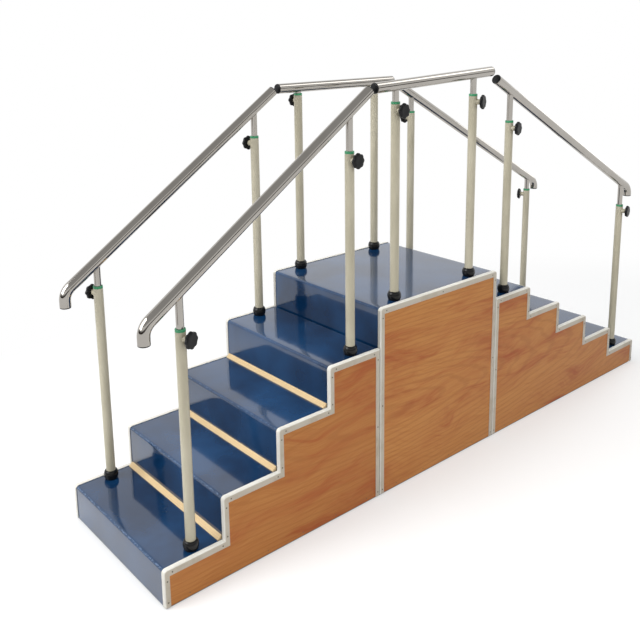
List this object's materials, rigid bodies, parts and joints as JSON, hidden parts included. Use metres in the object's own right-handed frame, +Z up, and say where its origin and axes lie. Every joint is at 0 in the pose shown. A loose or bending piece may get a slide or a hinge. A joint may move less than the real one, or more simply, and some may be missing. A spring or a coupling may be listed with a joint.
{
  "type": "rehabilitation stairs",
  "caption": "Two-sided training stairs with a low flight each side of a platform, wood-grain side panels, blue vinyl treads and height-adjustable steel handrails clamped in posts by star knobs.",
  "frame": {"origin": "centre of the footprint, on the floor under the glides", "axes": "+X from the steep four-step flight to the shallow five-step flight, +Y from the near handrails to the far ones, +Z up"},
  "size_m": [2.8364, 0.6612, 1.6029],
  "materials": {
    "blue_vinyl": "glossy smooth vinyl",
    "cherry_laminate": "satin wood-grain laminate",
    "trim_white": "satin off-white edge trim",
    "post_cream": "cream powder coat",
    "polished_steel": "polished stainless tube with black end plugs",
    "black_rubber": "matte black",
    "black_plastic": "satin black with a steel stud",
    "frame_grey": "grey powder coat with black glides"
  },
  "bodies": {
    "stairs": {"cover_left": "blue_vinyl", "cover_platform": "blue_vinyl", "cover_right": "blue_vinyl", "side_panel_left_near": "cherry_laminate", "side_panel_left_far": "cherry_laminate", "side_panel_platform_near": "cherry_laminate", "side_panel_platform_far": "cherry_laminate", "side_panel_right_near": "cherry_laminate", "side_panel_right_far": "cherry_laminate", "edge_trim_left_near": "trim_white", "edge_trim_left_far": "trim_white", "edge_trim_platform_near": "trim_white", "edge_trim_platform_far": "trim_white", "edge_trim_right_near": "trim_white", "edge_trim_right_far": "trim_white", "inner_frame_left": "frame_grey", "inner_frame_platform": "frame_grey", "inner_frame_right": "frame_grey", "post_left_low_near": "post_cream", "post_left_low_far": "post_cream", "post_left_high_near": "post_cream", "post_left_high_far": "post_cream", "post_platform_left_near": "post_cream", "post_platform_left_far": "post_cream", "post_platform_right_near": "post_cream", "post_platform_right_far": "post_cream", "post_right_high_near": "post_cream", "post_right_high_far": "post_cream", "post_right_low_near": "post_cream", "post_right_low_far": "post_cream", "collar_left_low_near": "black_rubber", "collar_left_low_far": "black_rubber", "collar_left_high_near": "black_rubber", "collar_left_high_far": "black_rubber", "collar_platform_left_near": "black_rubber", "collar_platform_left_far": "black_rubber", "collar_platform_right_near": "black_rubber", "collar_platform_right_far": "black_rubber", "collar_right_high_near": "black_rubber", "collar_right_high_far": "black_rubber", "collar_right_low_near": "black_rubber", "collar_right_low_far": "black_rubber"},
    "rail_left_near": {"handrail_left_near": "polished_steel"},
    "rail_left_far": {"handrail_left_far": "polished_steel"},
    "rail_platform_near": {"handrail_platform_near": "polished_steel"},
    "rail_platform_far": {"handrail_platform_far": "polished_steel"},
    "rail_right_near": {"handrail_right_near": "polished_steel"},
    "rail_right_far": {"handrail_right_far": "polished_steel"},
    "knob_left_low_near": {"knob_left_low_near": "black_plastic"},
    "knob_left_low_far": {"knob_left_low_far": "black_plastic"},
    "knob_left_high_near": {"knob_left_high_near": "black_plastic"},
    "knob_left_high_far": {"knob_left_high_far": "black_plastic"},
    "knob_platform_left_near": {"knob_platform_left_near": "black_plastic"},
    "knob_platform_left_far": {"knob_platform_left_far": "black_plastic"},
    "knob_platform_right_near": {"knob_platform_right_near": "black_plastic"},
    "knob_platform_right_far": {"knob_platform_right_far": "black_plastic"},
    "knob_right_high_near": {"knob_right_high_near": "black_plastic"},
    "knob_right_high_far": {"knob_right_high_far": "black_plastic"},
    "knob_right_low_near": {"knob_right_low_near": "black_plastic"},
    "knob_right_low_far": {"knob_right_low_far": "black_plastic"}
  },
  "joints": [
    {"name": "slide_left_near", "type": "slide", "parent": "stairs", "child": "rail_left_near", "axis": [0, 0, 1], "range_m": [-0.08, 0.12]},
    {"name": "slide_left_far", "type": "slide", "parent": "stairs", "child": "rail_left_far", "axis": [0, 0, 1], "range_m": [-0.049, 0.151]},
    {"name": "slide_platform_near", "type": "slide", "parent": "stairs", "child": "rail_platform_near", "axis": [0, 0, 1], "range_m": [-0.036, 0.164]},
    {"name": "slide_platform_far", "type": "slide", "parent": "stairs", "child": "rail_platform_far", "axis": [0, 0, 1], "range_m": [-0.002, 0.198]},
    {"name": "slide_right_near", "type": "slide", "parent": "stairs", "child": "rail_right_near", "axis": [0, 0, 1], "range_m": [-0.08, 0.12]},
    {"name": "slide_right_far", "type": "slide", "parent": "stairs", "child": "rail_right_far", "axis": [0, 0, 1], "range_m": [-0.036, 0.164]},
    {"name": "turn_left_low_near", "type": "hinge", "parent": "stairs", "child": "knob_left_low_near", "pos_m": [-1.2614, -0.3159, 0.8494], "axis": [0.342, -0.9397, 0], "range_deg": [0, 720]},
    {"name": "turn_left_low_far", "type": "hinge", "parent": "stairs", "child": "knob_left_low_far", "pos_m": [-1.2787, 0.3181, 0.8494], "axis": [-0.0872, 0.9962, 0], "range_deg": [0, 720]},
    {"name": "turn_left_high_near", "type": "hinge", "parent": "stairs", "child": "knob_left_high_near", "pos_m": [-0.5721, -0.3181, 1.3141], "axis": [0.0872, -0.9962, 0], "range_deg": [0, 720]},
    {"name": "turn_left_high_far", "type": "hinge", "parent": "stairs", "child": "knob_left_high_far", "pos_m": [-0.577, 0.3183, 1.3141], "axis": [-0.0349, 0.9994, 0], "range_deg": [0, 720]},
    {"name": "turn_platform_left_near", "type": "hinge", "parent": "stairs", "child": "knob_platform_left_near", "pos_m": [-0.3458, -0.3182, 1.469], "axis": [0.0698, -0.9976, 0], "range_deg": [0, 720]},
    {"name": "turn_platform_left_far", "type": "hinge", "parent": "stairs", "child": "knob_platform_left_far", "pos_m": [-0.3348, 0.3159, 1.469], "axis": [0.342, 0.9397, 0], "range_deg": [0, 720]},
    {"name": "turn_platform_right_near", "type": "hinge", "parent": "stairs", "child": "knob_platform_right_near", "pos_m": [0.1042, -0.3159, 1.469], "axis": [0.342, -0.9397, 0], "range_deg": [0, 720]},
    {"name": "turn_platform_right_far", "type": "hinge", "parent": "stairs", "child": "knob_platform_right_far", "pos_m": [0.0904, 0.3183, 1.469], "axis": [0, 1, 0], "range_deg": [0, 720]},
    {"name": "turn_right_high_near", "type": "hinge", "parent": "stairs", "child": "knob_right_high_near", "pos_m": [0.3408, -0.3174, 1.3428], "axis": [0.2079, -0.9781, 0], "range_deg": [0, 720]},
    {"name": "turn_right_high_far", "type": "hinge", "parent": "stairs", "child": "knob_right_high_far", "pos_m": [0.3324, 0.3183, 1.3428], "axis": [0, 1, 0], "range_deg": [0, 720]},
    {"name": "turn_right_low_near", "type": "hinge", "parent": "stairs", "child": "knob_right_low_near", "pos_m": [1.2846, -0.3174, 0.838], "axis": [0.2079, -0.9781, 0], "range_deg": [0, 720]},
    {"name": "turn_right_low_far", "type": "hinge", "parent": "stairs", "child": "knob_right_low_far", "pos_m": [1.2605, 0.3151, 0.838], "axis": [-0.3907, 0.9205, 0], "range_deg": [0, 720]}
  ]
}
